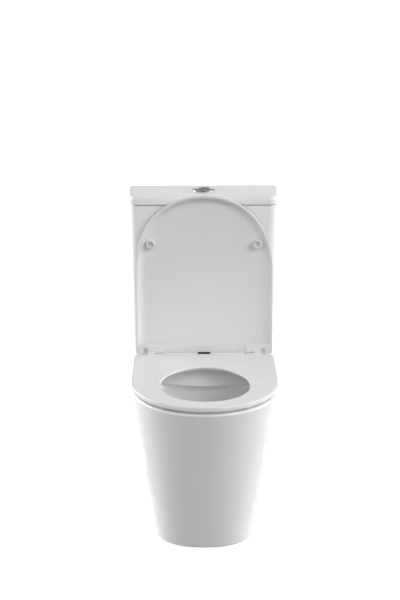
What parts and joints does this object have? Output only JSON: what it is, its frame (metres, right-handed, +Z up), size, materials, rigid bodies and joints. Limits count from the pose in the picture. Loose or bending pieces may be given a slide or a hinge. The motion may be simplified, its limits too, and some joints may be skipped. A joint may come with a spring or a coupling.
{
  "type": "close coupled toilet",
  "caption": "Back-to-wall close coupled toilet: skirted rimless pan, D-shaped soft-close seat with raised lid, and a slim cistern with a dual flush button in its lift-off lid.",
  "frame": {"origin": "on the floor, under the middle of the whole toilet's bounding box, between the wall face and the front of the seat", "axes": "+X to the right as seen from the front, +Y back towards the wall, +Z up"},
  "size_m": [0.3968, 0.6365, 0.8421],
  "materials": {
    "ceramic": "gloss",
    "seat_plastic": "gloss",
    "valve_plastic": "satin",
    "accent_plastic": "satin",
    "white_rubber": "matte",
    "black_rubber": "matte",
    "black_plastic": "satin",
    "chrome": "polished",
    "steel": "satin",
    "brass": "satin"
  },
  "bodies": {
    "base": {"pan": "ceramic", "pan_bowl": "ceramic", "pan_flush_duct": "ceramic", "pan_trapway": "ceramic", "pan_outlet": "ceramic", "tank": "ceramic", "flush_valve_base": "valve_plastic", "flush_back_nut": "valve_plastic", "coupling_gasket": "black_rubber", "flush_valve_tower": "valve_plastic", "fill_valve_column": "valve_plastic", "fill_valve_washer": "black_rubber", "fill_valve_nut": "brass", "fill_valve_head": "valve_plastic", "hinge_bar": "seat_plastic", "floor_bracket_left": "valve_plastic", "fixing_screw_left": "steel", "fixing_cap_left": "chrome", "coupling_bolt_left": "steel", "coupling_washer_left": "black_rubber", "coupling_wingnut_left": "steel", "hinge_post_left": "steel", "hinge_base_disc_left": "steel", "hinge_rubber_washer_left": "black_rubber", "hinge_nut_left": "valve_plastic", "hinge_damper_left": "black_plastic", "floor_bracket_right": "valve_plastic", "fixing_screw_right": "steel", "fixing_cap_right": "chrome", "coupling_bolt_right": "steel", "coupling_washer_right": "black_rubber", "coupling_wingnut_right": "steel", "hinge_post_right": "steel", "hinge_base_disc_right": "steel", "hinge_rubber_washer_right": "black_rubber", "hinge_nut_right": "valve_plastic", "hinge_damper_right": "black_plastic"},
    "seat": {"seat_ring": "seat_plastic", "seat_buffer_rear_left": "white_rubber", "seat_buffer_rear_right": "white_rubber", "seat_buffer_front_left": "white_rubber", "seat_buffer_front_right": "white_rubber"},
    "lid": {"seat_lid": "seat_plastic", "lid_buffer_left": "white_rubber", "lid_buffer_right": "white_rubber"},
    "cistern_cover": {"cistern_lid": "ceramic", "button_bezel": "chrome", "button_nut": "valve_plastic"},
    "full_button": {"full_flush_button": "chrome"},
    "half_button": {"half_flush_button": "chrome"},
    "release": {"release_button": "black_plastic"},
    "latch_left": {"release_latch_left": "steel"},
    "latch_right": {"release_latch_right": "steel"},
    "riser": {"overflow_riser": "valve_plastic", "flush_seal": "black_rubber"},
    "half_link": {"half_flush_link": "accent_plastic"},
    "full_rocker": {"full_flush_rocker": "accent_plastic"},
    "half_rocker": {"half_flush_rocker": "accent_plastic"},
    "float": {"fill_valve_float": "accent_plastic"},
    "float_arm": {"fill_valve_arm": "accent_plastic"}
  },
  "joints": [
    {"name": "seat_hinge", "type": "hinge", "parent": "base", "child": "seat", "pos_m": [0, 0.1, 0.421], "axis": [-1, 0, 0], "range_deg": [0, 92]},
    {"name": "lid_hinge", "type": "hinge", "parent": "base", "child": "lid", "pos_m": [0, 0.1, 0.421], "axis": [-1, 0, 0], "range_deg": [-94.3, 0]},
    {"name": "cistern_lid_lift", "type": "slide", "parent": "base", "child": "cistern_cover", "axis": [0, 0, 1], "range_m": [0, 0.12]},
    {"name": "full_flush_press", "type": "slide", "parent": "cistern_cover", "child": "full_button", "axis": [0, 0, -1], "range_m": [0, 0.006], "stiffness_N_per_m": 900},
    {"name": "half_flush_press", "type": "slide", "parent": "cistern_cover", "child": "half_button", "axis": [0, 0, -1], "range_m": [0, 0.006], "stiffness_N_per_m": 900},
    {"name": "release_press", "type": "slide", "parent": "base", "child": "release", "axis": [0, 1, 0], "range_m": [0, 0.003], "stiffness_N_per_m": 600},
    {"name": "latch_left_slide", "type": "slide", "parent": "base", "child": "latch_left", "axis": [1, 0, 0], "range_m": [0, 0.003]},
    {"name": "latch_right_slide", "type": "slide", "parent": "base", "child": "latch_right", "axis": [-1, 0, 0], "range_m": [0, 0.003]},
    {"name": "riser_lift", "type": "slide", "parent": "base", "child": "riser", "axis": [0, 0, 1], "range_m": [0, 0.014]},
    {"name": "half_link_lift", "type": "slide", "parent": "base", "child": "half_link", "axis": [0, 0, 1], "range_m": [0, 0.014]},
    {"name": "full_rocker_turn", "type": "hinge", "parent": "base", "child": "full_rocker", "pos_m": [0.026, 0.243, 0.704], "axis": [0, -1, 0], "range_deg": [0, 30]},
    {"name": "half_rocker_turn", "type": "hinge", "parent": "base", "child": "half_rocker", "pos_m": [-0.026, 0.243, 0.704], "axis": [0, 1, 0], "range_deg": [0, 30]},
    {"name": "float_rise", "type": "slide", "parent": "base", "child": "float", "axis": [0, 0, 1], "range_m": [0, 0.008]},
    {"name": "float_arm_turn", "type": "hinge", "parent": "base", "child": "float_arm", "pos_m": [-0.108, 0.243, 0.7185], "axis": [0, -1, 0], "range_deg": [0, 25]}
  ],
  "couplings": [
    {"joint": "latch_left_slide", "follows": "release_press", "ratio": 1},
    {"joint": "latch_right_slide", "follows": "release_press", "ratio": 1},
    {"joint": "riser_lift", "follows": "full_flush_press", "ratio": 2.3333},
    {"joint": "full_rocker_turn", "follows": "full_flush_press", "rad_per_m": 87.2},
    {"joint": "half_link_lift", "follows": "half_flush_press", "ratio": 2.3333},
    {"joint": "half_rocker_turn", "follows": "half_flush_press", "rad_per_m": 87.2},
    {"joint": "float_arm_turn", "follows": "float_rise", "rad_per_m": 54}
  ]
}
